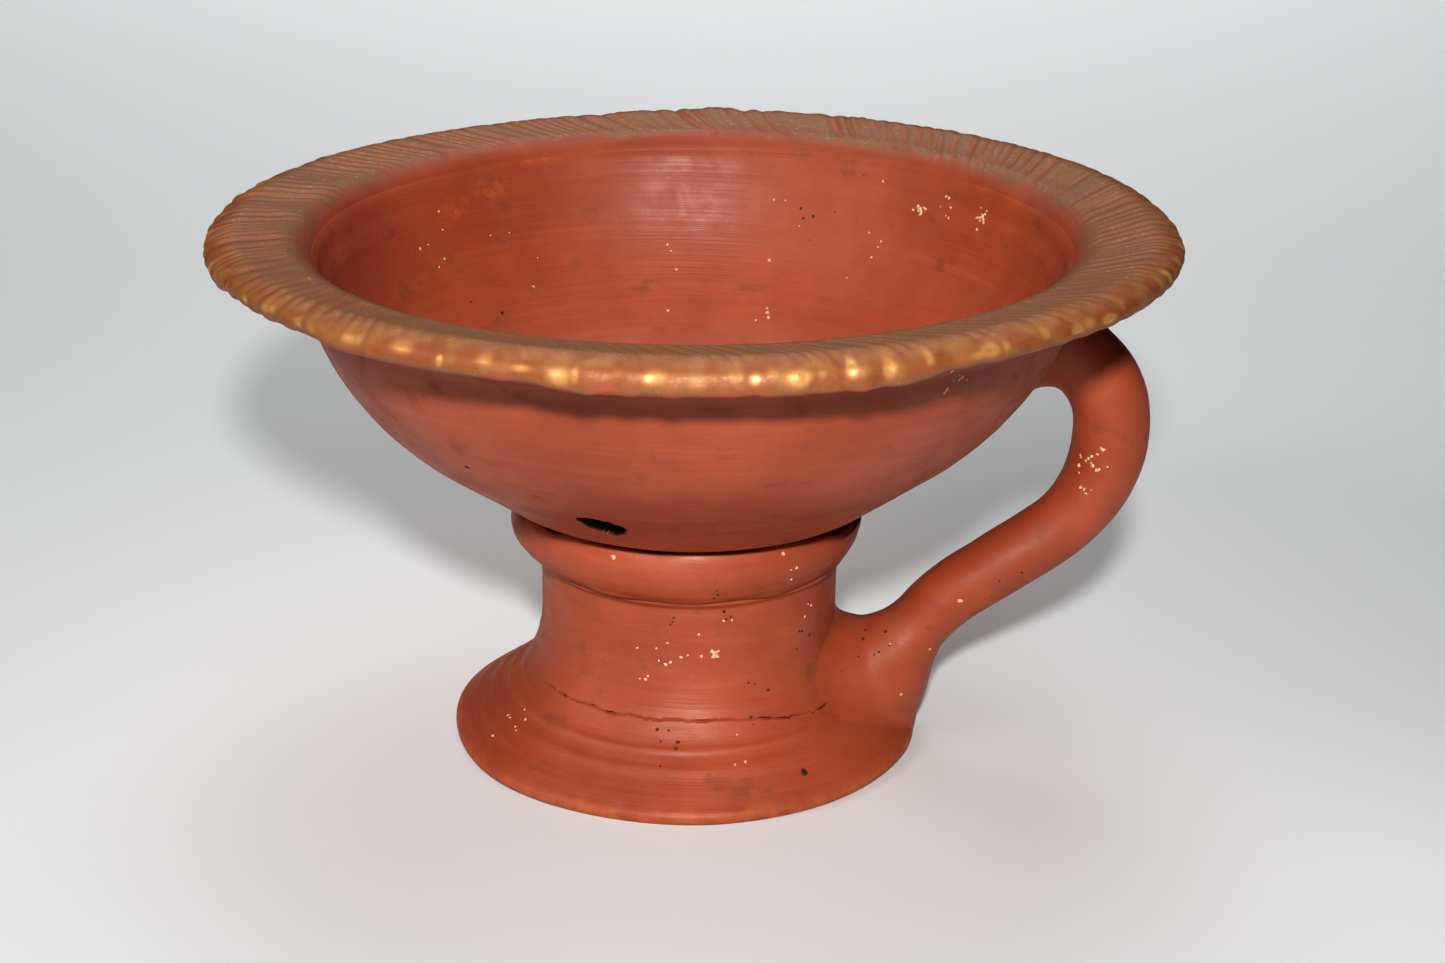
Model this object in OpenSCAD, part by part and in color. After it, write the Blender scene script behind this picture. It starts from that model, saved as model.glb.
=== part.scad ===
// Footed clay oil lamp: a thrown bowl with a wide everted rim, set in a collar on a
// hollow flared pedestal, with an S-shaped coil handle from the bowl to the foot.
// Millimetres, +Z up. The origin is the centre of the foot's resting ring.
// The handle lies in the XZ plane, towards +X. Outlines are [radius, height] pairs.

/* [Rim and bowl] */
// Diameter over the flanged rim
rim_d = 150; // [149:0.5:153]
// Height of the rim's top above the table
lamp_h = 87; // [86:0.5:89]
// Diameter of the bowl's mouth inside the flange
mouth_d = 115; // [114:0.5:116]
// Thickness of the thrown bowl wall
bowl_wall = 4.2; // [3.8:0.1:4.6]
// Radius of the rounded lip at the flange's edge
lip_r = 2; // [1.8:0.1:2.2]
// Thickness of the gold paint coat on the flange
paint_t = 0.25; // [0.2:0.05:0.4]

/* [Collar] */
// Largest diameter of the socket collar
collar_d = 56; // [55:0.5:57]
// Height of the collar's lip above the table
collar_top_z = 40; // [39.6:0.1:40.4]
// Height of the collar's lower edge above the table
collar_base_z = 32; // [31.5:0.1:32.5]

/* [Pedestal] */
// Diameter of the hollow stem
stem_d = 47.4; // [46.4:0.2:48.4]
// Diameter of the bore up the stem
bore_d = 39.4; // [38.4:0.2:40]
// Height of the seam between the stem and the foot
seam_z = 12; // [11.5:0.1:12.5]
// Diameter of the foot over its rounded edge
foot_d = 76.3; // [75.5:0.1:77.5]

/* [Handle] */
// Thickness of the clay coil that the handle is bent from
handle_d = 11.8; // [11:0.2:12.4]
// Farthest reach of the handle from the lamp's axis
handle_reach = 73.5; // [73:0.25:74]

/* [Hidden] */

$fn = 96;
clay = [0.67, 0.30, 0.20];
bowl_clay = [0.64, 0.27, 0.17];
luting_clay = [0.55, 0.27, 0.19];
gold_paint = [0.58, 0.43, 0.20];

// Rim: the lip is a round bead, and the flange's top falls a little towards the mouth
rim_r = rim_d / 2;
lip_c = [rim_r - lip_r, lamp_h - lip_r];
flange_fall = 1;
shoulder_r = 4.5;
shoulder_c = [mouth_d / 2 + shoulder_r, lamp_h - flange_fall - shoulder_r];
flange_t = 6.3;
flange_bottom_z = lamp_h - flange_t;
cove_r = 3;

// The paint runs from part-way down the shoulder to just under the lip, in degrees of arc
paint_from = 155;
paint_to = -100;
shoulder_foot = 175;

// Bowl: inside and outside curves share a centre, above a straighter lower cone
bowl_in_r = 39.8;
bowl_out_r = bowl_in_r + bowl_wall;
bowl_c = [mouth_d / 2 - bowl_in_r + 0.3, lamp_h + 1];
bowl_turn = 54;
throat_turn = 9;
cove_turn = 14;
floor_z = collar_top_z + 4.5;
floor_r = 20;
floor_fillet = 15;
floor_turn = 36;

// Underside of the bowl: from the belly in to the neck and the cut-off base
belly = [31, collar_top_z + 3];
neck = [27.2, collar_top_z + 1.3];
base_r = 24.8;
base_z = collar_top_z + 0.2;

// Collar: a low cup with a bulging side and a rounded lip, on a ledge over the stem
collar_r = collar_d / 2;
collar_lip_r = 0.9;
collar_lip_c = [collar_r - 1.35, collar_top_z - collar_lip_r];
collar_edge_r = 25.2;
ledge_z = 35.5;
cup_r = 24.5;
bore_r = bore_d / 2;

// Luting coil: a round coil squeezed square between the bowl's base and the collar's ledge
luting_round = 1.6;
luting_low = [bore_r + 0.4, ledge_z];
luting_high = [cup_r - 0.15, base_z];

// Stem: straight above, flaring down to the seam
stem_r = stem_d / 2;
flare_z = 22;
flare_r = 23;
flare_turn = asin((flare_z - seam_z) / flare_r);
seam_r = stem_r + flare_r * (1 - cos(flare_turn));
seam_bore_r = bore_r + 0.9;

// Foot: a spreading skirt with a rounded edge and a flat resting ring
foot_r = foot_d / 2;
foot_edge_r = 1.2;
foot_slope = 35;
seam_step = 0.3;
foot_shoulder = [seam_r + 1.4, seam_z - 2.2];
foot_skirt = [seam_r + 3.8, seam_z - 4.4];
rest_in_r = foot_r - 5.2;
foot_hollow = [[rest_in_r, 0], [rest_in_r - 3.8, 2.6], [rest_in_r - 9, seam_z - 5.2]];

// Handle: an upper bend, a middle bend and an opposite lower bend, with straights between
coil_r = handle_d / 2;
coil_sides = 28;
upper_bend_r = 14.5;
upper_drop = 33.7;
middle_bend_r = 22.5;
middle_drop = 34.5;
middle_turn = 55;
run_len = 15;
lower_bend_r = 30;
end_turn = 20;
end_len = 7.5;

// Wads of clay round the coil's two ends
wad_skirt = 2;
top_wad_r = 9.2;
top_wad_len = 7;
foot_wad_r = 9;
foot_wad_c = [30, 10.5];

// Points along an arc about centre c, from angle a0 to a1, both ends included
function arc(c, r, a0, a1, steps) =
    [for (i = [0:steps]) let (a = a0 + (a1 - a0) * i / steps) c + r * [cos(a), sin(a)]];

function reversed(list) = [for (i = [len(list) - 1:-1:0]) list[i]];

// Painted surface of the rim, from the shoulder over the lip, set back by t
function rim_skin(t) = concat(
    arc(shoulder_c, shoulder_r - t, paint_from, 90, 5),
    arc(lip_c, lip_r - t, 90, paint_to, 12));

// Outside of the bowl, from under the flange down to the cut-off base
function bowl_outer() = concat(
    arc([bowl_c[0] + bowl_out_r + cove_r - 0.3, flange_bottom_z - cove_r], cove_r, 95, 175, 5),
    arc(bowl_c, bowl_out_r, -cove_turn, -bowl_turn, 14),
    [belly, neck, [base_r, base_z]]);

// Inside of the bowl, from the middle of the floor up to the painted shoulder
function bowl_inner() = concat(
    arc([floor_r, floor_z + floor_fillet], floor_fillet, -90, floor_turn - 90, 5),
    arc(bowl_c, bowl_in_r, -bowl_turn, -throat_turn, 14),
    arc(shoulder_c, shoulder_r, shoulder_foot, paint_from, 4));

function stem_outer() = concat(
    [[stem_r, collar_base_z]],
    arc([stem_r + flare_r, flare_z], flare_r, 180, 180 + flare_turn, 8));

function foot_outer() = concat(
    [[seam_r + seam_step, seam_z], foot_shoulder, foot_skirt],
    arc([foot_r - foot_edge_r, foot_edge_r], foot_edge_r, 90 - foot_slope, -90, 8));

module turned(outline) rotate_extrude() polygon(outline);

// The bowl and the pedestal as filled solids, to trim what is pressed against them
module bowl_envelope() turned(concat(
    [[0, lamp_h], [lip_c[0], lamp_h], [lip_c[0], lip_c[1] - lip_r]], bowl_outer(), [[0, base_z]]));

module pedestal_envelope() turned(concat(
    [[0, collar_base_z]], stem_outer(), foot_outer(), [[0, 0]]));

module bowl() color(bowl_clay) turned(concat(
    rim_skin(paint_t), bowl_outer(), [[0, base_z], [0, floor_z]], bowl_inner()));

module rim_gilding() color(gold_paint) turned(concat(
    rim_skin(0), reversed(rim_skin(paint_t))));

module socket_collar() color(clay) turned(concat(
    [[bore_r, collar_base_z], [collar_edge_r - 0.6, collar_base_z],
     [collar_edge_r, collar_base_z + 0.4], [collar_r - 1.4, collar_base_z + 1.7],
     [collar_r - 0.5, collar_base_z + 3], [collar_r - 0.1, collar_base_z + 4.4],
     [collar_r, collar_top_z - 2.2]],
    arc(collar_lip_c, collar_lip_r, 20, 190, 8),
    [[cup_r, ledge_z], [bore_r, ledge_z]]));

module luting_coil() color(luting_clay) turned([
    for (corner = [0:3])
        let (right = corner == 0 || corner == 3, top = corner < 2,
             c = [right ? luting_high[0] - luting_round : luting_low[0] + luting_round,
                  top ? luting_high[1] - luting_round : luting_low[1] + luting_round])
            each arc(c, luting_round, 90 * corner, 90 * corner + 90, 5)]);

module stem() color(clay) turned(concat(
    stem_outer(), [[seam_bore_r, seam_z], [bore_r, flare_z], [bore_r, collar_base_z]]));

module foot() color(clay) turned(concat(foot_outer(), foot_hollow, [[seam_bore_r, seam_z]]));

// Centre line of the coil in the XZ plane, from inside the bowl wall down to the foot
coil_x = handle_reach - coil_r;
upper_c = [coil_x - upper_bend_r, lamp_h - upper_drop];
middle_c = [coil_x - middle_bend_r, lamp_h - middle_drop];
run_end = middle_c + middle_bend_r * [cos(middle_turn), -sin(middle_turn)]
    - run_len * [sin(middle_turn), cos(middle_turn)];
lower_c = run_end + lower_bend_r * [cos(middle_turn), -sin(middle_turn)];
coil_path = concat(
    arc(upper_c, upper_bend_r, 90, 0, 12),
    arc(middle_c, middle_bend_r, 0, -middle_turn, 10),
    arc(lower_c, lower_bend_r, 180 - middle_turn, 180 - end_turn, 6),
    [lower_c - lower_bend_r * [cos(end_turn), -sin(end_turn)]
        - end_len * [sin(end_turn), cos(end_turn)]]);

// Direction of the centre line at its point i
function heading(i) =
    let (last = len(coil_path) - 1,
         step = coil_path[min(i + 1, last)] - coil_path[max(i - 1, 0)]) step / norm(step);

// The coil's round section, swept along the centre line
module coil() {
    ring_points = [for (i = [0:len(coil_path) - 1], k = [0:coil_sides - 1])
        let (c = coil_path[i], h = heading(i), a = 360 * k / coil_sides)
            [c[0] + coil_r * cos(a) * h[1], coil_r * sin(a), c[1] - coil_r * cos(a) * h[0]]];
    last_ring = (len(coil_path) - 1) * coil_sides;
    side_faces = [for (i = [0:len(coil_path) - 2], k = [0:coil_sides - 1])
        let (a = i * coil_sides, n = (k + 1) % coil_sides)
            [a + n, a + k, a + k + coil_sides, a + n + coil_sides]];
    polyhedron(ring_points, concat(
        [[for (k = [0:coil_sides - 1]) k]],
        side_faces,
        [[for (k = [coil_sides - 1:-1:0]) last_ring + k]]));
}

module handle() color(clay) difference() {
    coil();
    bowl_envelope();
    pedestal_envelope();
}

// Soft clay pressed round the coil's upper end and smoothed against the bowl
module handle_top_wad() color(clay) difference() {
    translate([upper_c[0], 0, upper_c[1] + upper_bend_r]) rotate([0, 90, 0])
        cylinder(h = top_wad_len, r1 = top_wad_r + wad_skirt, r2 = coil_r + 0.4);
    coil();
    bowl_envelope();
}

// Soft clay pressed round the coil's lower end, in the angle between stem and foot
module handle_foot_wad() color(clay) difference() {
    translate([foot_wad_c[0], 0, foot_wad_c[1]]) sphere(foot_wad_r);
    coil();
    pedestal_envelope();
}

bowl();
rim_gilding();
socket_collar();
luting_coil();
stem();
foot();
handle();
handle_top_wad();
handle_foot_wad();
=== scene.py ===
"""Visual model of a footed clay oil lamp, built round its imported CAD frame.

The lamp is a thrown bowl with a combed, gilded rim, set in a collar on a hollow flared
pedestal, with a coil handle. Shapes are worked out in millimetres and written in metres.
Azimuths are measured from +X, where the handle is, counter-clockwise seen from above;
the front is at 270 degrees.
"""

import bpy
import math
import numpy as np
from mathutils import Matrix, Vector
from mathutils.bvhtree import BVHTree


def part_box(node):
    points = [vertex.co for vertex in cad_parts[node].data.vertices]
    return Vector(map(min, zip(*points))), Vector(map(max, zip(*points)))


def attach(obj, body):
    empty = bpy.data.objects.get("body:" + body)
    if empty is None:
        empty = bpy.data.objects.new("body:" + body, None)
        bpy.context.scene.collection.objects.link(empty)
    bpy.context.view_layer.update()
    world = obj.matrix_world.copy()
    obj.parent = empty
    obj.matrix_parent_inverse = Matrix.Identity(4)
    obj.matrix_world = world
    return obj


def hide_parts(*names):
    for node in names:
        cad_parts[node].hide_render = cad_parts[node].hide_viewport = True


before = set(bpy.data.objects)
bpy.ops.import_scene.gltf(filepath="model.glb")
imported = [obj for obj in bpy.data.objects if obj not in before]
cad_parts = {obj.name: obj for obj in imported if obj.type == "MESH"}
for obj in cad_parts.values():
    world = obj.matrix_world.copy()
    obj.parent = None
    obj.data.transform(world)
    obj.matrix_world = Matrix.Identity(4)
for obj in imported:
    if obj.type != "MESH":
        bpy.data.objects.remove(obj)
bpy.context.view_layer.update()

MM = 0.001
TAU = math.tau


# ---------------------------------------------------------------- numbers and noise
def ramp(low, high, x):
    """0 below low, 1 above high, and smooth between."""
    t = np.clip((np.asarray(x, float) - low) / (high - low), 0, 1)
    return t * t * (3 - 2 * t)


def hump(x, middle, width):
    """1 at middle and near 0 beyond two widths from it."""
    return np.exp(-(((x - middle) / width) ** 2))


def apart(angle, azimuth):
    """Signed angle in degrees from an azimuth to angle, which is in radians."""
    return (np.degrees(angle) - azimuth + 180) % 360 - 180


def span(angle, start, end, soft):
    """1 between two azimuths, falling to 0 over soft degrees outside them."""
    middle, half = (start + end) / 2, (end - start) / 2
    return 1 - ramp(half, half + soft, abs(apart(angle, middle)))


def whole_turn(steps):
    return np.linspace(0, TAU, steps, endpoint=False)


def in_space(r, z, angle):
    """Points [..., 3] from radius, height and azimuth."""
    return np.stack(np.broadcast_arrays(r * np.cos(angle), r * np.sin(angle), z), -1)


class Noise:
    """Smooth seeded noise in space, from about -1 to 1."""

    SIZE = 512

    def __init__(self, seed):
        random = np.random.default_rng(seed)
        self.order = np.tile(random.permutation(self.SIZE), 2)
        self.value = random.uniform(-1, 1, self.SIZE)

    def __call__(self, points, size=1.0):
        at = np.asarray(points, float) / size + 1000.5
        cell = np.floor(at).astype(int)
        part = at - cell
        part = part * part * (3 - 2 * part)
        total = 0.0
        for corner in np.ndindex(2, 2, 2):
            c = (cell + corner) % self.SIZE
            key = self.order[self.order[self.order[c[..., 0]] + c[..., 1]] + c[..., 2]]
            total = total + self.value[key] * np.prod(np.where(corner, part, 1 - part), axis=-1)
        return total


def waves(angle, seed, low, high):
    """A smooth closed wave round the lamp, about 1 in size, with low to high lobes."""
    random = np.random.default_rng(seed)
    total = 0.0
    for lobes in range(low, high + 1):
        total = total + random.normal() * np.cos(lobes * angle + random.uniform(0, TAU))
    return total / math.sqrt((high - low + 1) / 2)


def rings_noise(along, angle, pitch, runs, seed):
    """Throwing lines: noise that is fine along the outline and long round the lamp."""
    along, angle = np.broadcast_arrays(along, angle)
    spot = np.stack([along / pitch, runs * np.cos(angle), runs * np.sin(angle)], -1)
    return Noise(seed)(spot)


# ---------------------------------------------------------------- outlines
RECUT_GRAIN = 0.05  # mm, how finely a line is walked when its points are placed anew
SOFTEN_GRAIN = 0.1


def arc(centre, radius, start, end, steps=16):
    a = np.radians(np.linspace(start, end, steps + 1))
    return np.stack([centre[0] + radius * np.cos(a), centre[1] + radius * np.sin(a)], 1)


def columns(line):
    """The two coordinates of a line's points, as columns."""
    return line[:, 0:1], line[:, 1:2]


def lengths(line):
    """Distance of each point from the line's start, along it."""
    return np.concatenate([[0], np.cumsum(np.hypot(*np.diff(line, axis=0).T))])


def sample(line, run):
    """Points on the line at distances run from its start."""
    return np.stack([np.interp(run, lengths(line), line[:, k]) for k in (0, 1)], 1)


def even(size):
    """A step for recut that is the same everywhere."""
    return lambda points: np.full(len(points), size)


def recut(line, step):
    """The same line with points about step(points) mm apart."""
    total = lengths(line)[-1]
    fine = np.linspace(0, total, int(total / RECUT_GRAIN) + 2)
    points = sample(line, fine)
    count = np.concatenate([[0], np.cumsum(np.diff(fine) / step(points)[1:])])
    cuts = np.interp(np.linspace(0, count[-1], int(round(count[-1])) + 1), count, fine)
    return np.stack([np.interp(cuts, fine, points[:, k]) for k in (0, 1)], 1)


def soften(line, width):
    """The line with its corners rounded over about width mm; its ends stay."""
    total = lengths(line)[-1]
    points = sample(line, np.linspace(0, total, int(total / SOFTEN_GRAIN) + 2))
    reach = max(1, int(width / (2 * SOFTEN_GRAIN)))
    before, after = np.repeat(points[:1], reach, 0), np.repeat(points[-1:], reach, 0)
    ends = np.concatenate([before, points, after])
    kernel = np.hanning(2 * reach + 3)[1:-1]
    kernel /= kernel.sum()
    smooth = np.stack([np.convolve(ends[:, k], kernel, "valid") for k in (0, 1)], 1)
    smooth[0], smooth[-1] = points[0], points[-1]
    return smooth


def normals(line):
    """Unit normals to the right of the line's direction."""
    d = np.gradient(line, axis=0)
    n = np.stack([d[:, 1], -d[:, 0]], 1)
    return n / np.maximum(np.hypot(*n.T), 1e-9)[:, None]


# ---------------------------------------------------------------- meshes
def add_object(name, data):
    made = bpy.data.objects.new(name, data)
    bpy.context.collection.objects.link(made)
    return made


def make_mesh(name, vertices, faces, **values):
    """A smooth mesh piece from points in mm, facing outwards, with named point values."""
    vertices = np.asarray(vertices, float)
    volume = 0.0
    for f in faces:
        for i in range(1, f.shape[1] - 1):
            one, two, three = (vertices[f[:, k]] for k in (0, i, i + 1))
            volume += (one * np.cross(two, three)).sum()
    lists = [face for f in faces for face in (f if volume > 0 else f[:, ::-1]).tolist()]
    mesh = bpy.data.meshes.new(name)
    mesh.from_pydata((vertices * MM).tolist(), [], lists)
    for key, value in values.items():
        layer = mesh.attributes.new(key, "FLOAT", "POINT")
        layer.data.foreach_set("value", np.ravel(value).astype(np.float32))
    mesh.shade_smooth()
    return add_object(name, mesh)


def spin(name, r, z, angle, poles=False, loop=False, **values):
    """A turned mesh: rings r, z of shape [ring, step] in mm round the axis at angle [step].

    With poles, the first and last ring shrink to a point each. With loop, the last ring
    joins the first.
    """
    points = in_space(r, z, angle)
    rings, steps = r.shape
    index = np.arange(rings * steps).reshape(rings, steps)
    keep = np.ones(rings * steps, bool)
    if poles:
        for row in (0, rings - 1):
            keep[index[row, 1:]] = False
            points[row] = points[row].mean(0)
        number = np.cumsum(keep) - 1
        index = number[index]
        index[0], index[-1] = index[0, 0], index[-1, 0]
    rows = np.arange(rings if loop else rings - 1)
    near, far = index[rows], index[(rows + 1) % rings]
    quads = np.stack([near, np.roll(near, -1, 1), np.roll(far, -1, 1), far], -1).reshape(-1, 4)
    faces = [quads]
    if poles:
        bottom, top = quads[:steps], quads[-steps:]
        faces = [quads[steps:-steps], bottom[:, [0, 2, 3]], top[:, [0, 1, 2]]]
    kept = {k: np.broadcast_to(v, r.shape).reshape(-1)[keep] for k, v in values.items()}
    return make_mesh(name, points.reshape(-1, 3)[keep], faces, **kept)


def net(name, field, origin, cell):
    """A closed mesh where field is zero. field is [x, y, z] samples, negative inside."""
    field = np.pad(field, 1, constant_values=1.0)
    size = np.array(field.shape)
    total = np.zeros((*(size - 1), 3))
    count = np.zeros(size - 1)
    rounds = []
    for axis in range(3):
        low = field[tuple(slice(0, -1) if k == axis else slice(None) for k in range(3))]
        high = field[tuple(slice(1, None) if k == axis else slice(None) for k in range(3))]
        cross = (low < 0) != (high < 0)
        at = np.argwhere(cross)
        place = at.astype(float)
        place[:, axis] += (low / np.where(cross, low - high, 1))[cross]
        one, two = (axis + 1) % 3, (axis + 2) % 3
        corners = []
        for a, b in ((0, 0), (1, 0), (1, 1), (0, 1)):
            where = at.copy()
            where[:, one] -= a
            where[:, two] -= b
            np.add.at(total, tuple(where.T), place)
            np.add.at(count, tuple(where.T), 1)
            corners.append(where)
        rounds.append((corners, (low < 0)[cross]))
    used = count > 0
    number = np.cumsum(used).reshape(used.shape) - 1
    quads = []
    for corners, outward in rounds:
        quad = np.stack([number[tuple(w.T)] for w in corners], 1)
        quads += [quad[outward], quad[~outward][:, ::-1]]
    points = np.asarray(origin) + cell * (total[used] / count[used][:, None] - 1)
    return make_mesh(name, points, quads)


# ---------------------------------------------------------------- sizes, in mm
def edges(node):
    low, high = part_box(node)
    return low / MM, high / MM


RIM_R, LAMP_H = edges("rim_gilding")[1].x, edges("rim_gilding")[1].z
COLLAR_LOW, COLLAR_TOP = (edge.z for edge in edges("socket_collar"))
SEAM_Z = edges("stem")[0].z
FOOT_R = edges("foot")[1].x
HANDLE_REACH = edges("handle")[1].x
BORE_R = 19.7
MOUTH_R = 57.5
LUTING_Z = 35.5  # where the luting coil stands on the collar's ledge

TILT = 0.0139  # the bowl leans: its handle side stands higher
LIP_R = 1.6
LIP_C = (RIM_R - LIP_R, LAMP_H - 4 + LIP_R)
CROWN_R = 9.0  # the flange's top rolls over towards the lip
CROWN_Z = LAMP_H - 0.1 - CROWN_R
CROWN_START = math.degrees(math.asin((LIP_C[1] - CROWN_Z) / (CROWN_R - LIP_R)))
CROWN_C = (LIP_C[0] - (CROWN_R - LIP_R) * math.cos(math.radians(CROWN_START)), CROWN_Z)
SHOULDER_R = 7.0
SHOULDER_C = (MOUTH_R + SHOULDER_R, LAMP_H - 1 - SHOULDER_R)
BOWL_C = (MOUTH_R - 39.5, LAMP_H + 1)
IN_R, OUT_R = 39.8, 44.0
BASE_Z = COLLAR_TOP + 0.2
PAINT_SPAN = (155, -100)  # where the gilding starts on the shoulder and ends under the lip
SKIN_END = 165  # the skin dips under the clay a little further down the shoulder

bowl_outer = np.concatenate([
    [[24.8, BASE_Z], [27.2, COLLAR_TOP + 1.3], [31, COLLAR_TOP + 3]],
    arc(BOWL_C, OUT_R, -54, -14, 24),
    arc((BOWL_C[0] + OUT_R + 2.7, LAMP_H - 9.3), 3, 175, 95, 8),
])
bowl_inner = np.concatenate([
    arc(SHOULDER_C, SHOULDER_R, PAINT_SPAN[0], 175, 4),
    arc(BOWL_C, IN_R, -15, -54, 24),
    arc((20, COLLAR_TOP + 19.5), 15, -36, -90, 8),
    [[0, COLLAR_TOP + 4.5]],
])
lip_line = np.concatenate([
    arc(LIP_C, LIP_R, PAINT_SPAN[1], CROWN_START, 12),
    arc(CROWN_C, CROWN_R, CROWN_START, 90, 6),
])
rim_line = np.concatenate([lip_line, arc(SHOULDER_C, SHOULDER_R, 90, PAINT_SPAN[0], 8)])
skin_line = np.concatenate([
    [[RIM_R - 4.4, LAMP_H - 4.55]], lip_line, arc(SHOULDER_C, SHOULDER_R, 90, SKIN_END, 9),
])
pedestal_line = np.concatenate([
    [[23.7, COLLAR_LOW + 0.3]],
    arc((46.7, 22), 23, 180, 205.8, 12),
    [[27.4, 9.8], [29.6, 7.9]],
    arc((FOOT_R - 1.2, 1.2), 1.2, 55, -90, 8),
])


def lean(x, z):
    """How much higher the tilted bowl stands, in mm, fading out at the collar."""
    return TILT * x * ramp(COLLAR_TOP + 1, COLLAR_TOP + 12, z)


def rim_shape(r, z, angle):
    """How the hand-thrown rim strays from a true circle: outwards and upwards, in mm."""
    edge = ramp(63, 74, r) * ramp(LAMP_H - 9, LAMP_H - 5, z)
    under = 1 - ramp(LAMP_H - 3.4, LAMP_H - 0.8, z)
    out = 0.18 * waves(angle, 11, 2, 5) * ramp(40, 74, r)
    up = 0.12 * waves(angle, 12, 2, 6) * edge
    fold = span(angle, 258, 292, 6) + 0.35 * span(angle, 229, 252, 3)
    up = up - 0.95 * fold * edge * under
    out = out + 0.25 * fold * edge * under
    out = out - 0.7 * span(angle, 206, 226, 3) * edge * under
    up = up + (0.45 * hump(apart(angle, 87), 0, 2.2) - 0.3 * hump(apart(angle, 104), 0, 1.6)) * edge
    up = up + 0.6 * span(angle, 30, 88, 30) * edge
    out = out + 0.4 * span(angle, 325, 345, 20) * edge
    return out, up


def calm(angle, half):
    """0 near the handle, where clay was smoothed over the joint, and 1 elsewhere."""
    return 1 - span(angle, -half, half, half)


# ---------------------------------------------------------------- bowl
HOLE_AZIMUTH, HOLE_Z = 252, 49.9
HOLE_HALF_WIDTH, HOLE_HALF_HEIGHT, HOLE_DEPTH = 3.3, 4.2, 3.4
# Smears of gold that strayed over the mouth's edge: azimuth, height, how wide and how tall
SMEARS = ((36, 84.2, 5, 1.1), (24, 85.2, 5, 0.8), (128, 79.5, 3, 2.2), (118, 83, 5, 0.9),
          (136, 77, 3, 1.6))


def build_bowl():
    fine = np.linspace(HOLE_AZIMUTH - 8, HOLE_AZIMUTH + 8, 56)
    coarse = np.arange(HOLE_AZIMUTH + 8, HOLE_AZIMUTH + 352, 0.92)
    angle = np.radians(np.concatenate([fine[:-1], coarse]))

    painted = recut(rim_line, even(1.1))
    line = soften(np.concatenate([[[0, BASE_Z]], bowl_outer, painted, bowl_inner]), 1.2)

    def step(p):
        """Close together at the hole and far apart in the middle."""
        size = np.full(len(p), 1.0)
        outside = np.cumsum(np.hypot(*np.gradient(p, axis=0).T)) < 70
        size[outside & (p[:, 1] > HOLE_Z - 3.4) & (p[:, 1] < HOLE_Z + 4.6)] = 0.3
        size[p[:, 0] < 22] = 2.5
        return size

    line = recut(line, step)
    along = lengths(line)[:, None]
    r0, z0 = columns(line)
    nr, nz = columns(normals(line))
    lip = lengths(line)[np.argmax(line[:, 0])]
    inside = ramp(lip, lip + 8, along)
    a = angle[None, :]

    # Throwing lines inside, drag marks outside, and slow unevenness all over
    push = 0.035 * rings_noise(along, a, 1.5, 1.6, 21) + 0.05 * rings_noise(along, a, 5, 1.2, 22)
    push = push * ramp(2, 10, r0)
    push = push + (1 - inside) * 0.16 * rings_noise(along, a, 9, 2.2, 23) * ramp(44, 50, z0)
    push = push * np.maximum(inside, calm(a, 14))

    # The painted rim lies over the clay, so the clay is set back there
    push = push - 0.75 * ramp(LAMP_H - 4.0, LAMP_H - 2.8, z0)

    # A hole punched low in the wall, wide across and ragged
    third = len(line) // 3
    across = apart(a, HOLE_AZIMUTH) * math.radians(1) * r0
    up_wall = along - np.interp(HOLE_Z, line[:third, 1], lengths(line)[:third])
    slant = up_wall + 0.4 * across
    ragged = Noise(31)(np.stack(np.broadcast_arrays(across, up_wall, 0 * across), -1), 1.3)
    low_wall = (1 - inside) * ramp(45, 47, z0)
    hole = np.hypot(across / HOLE_HALF_WIDTH, slant / HOLE_HALF_HEIGHT) + 0.2 * ragged
    pit = (1 - ramp(0.7, 1.02, hole)) * low_wall
    # Painted shade: round the pit the clay is marked to be coloured near-black, standing for the
    # dark inside the hole
    burnt_and_hole_shade = (1 - ramp(1.0, 1.1, hole)) * low_wall
    push = push - HOLE_DEPTH * pit

    # A small lump on the wall at the handle side
    push = push + 0.55 * (1 - inside) * hump(apart(a, -6), 0, 5) * hump(z0, 51, 2.0)

    out, up = rim_shape(r0, z0, a)
    r = r0 + nr * push + out
    z = z0 + nz * push + up
    z = z + lean(r * np.cos(a), z)

    smear = 0
    for azimuth, height, wide, tall in SMEARS:
        smear = smear + hump(apart(a, azimuth), 0, wide) * hump(z0, height, tall)
    smear = np.clip(smear * inside, 0, 1)
    return spin("bowl_shell", r, z, angle, poles=True, pit=burnt_and_hole_shade, smear=smear)


# ---------------------------------------------------------------- gilded rim
GROOVES = 172
COMB_SLANT = 7.0  # degrees that a comb stroke swings round between lip and mouth
COMB_START_R = 60.4
SKIN = 0.55  # thickness of the painted skin, most of it sunk in the clay


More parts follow.
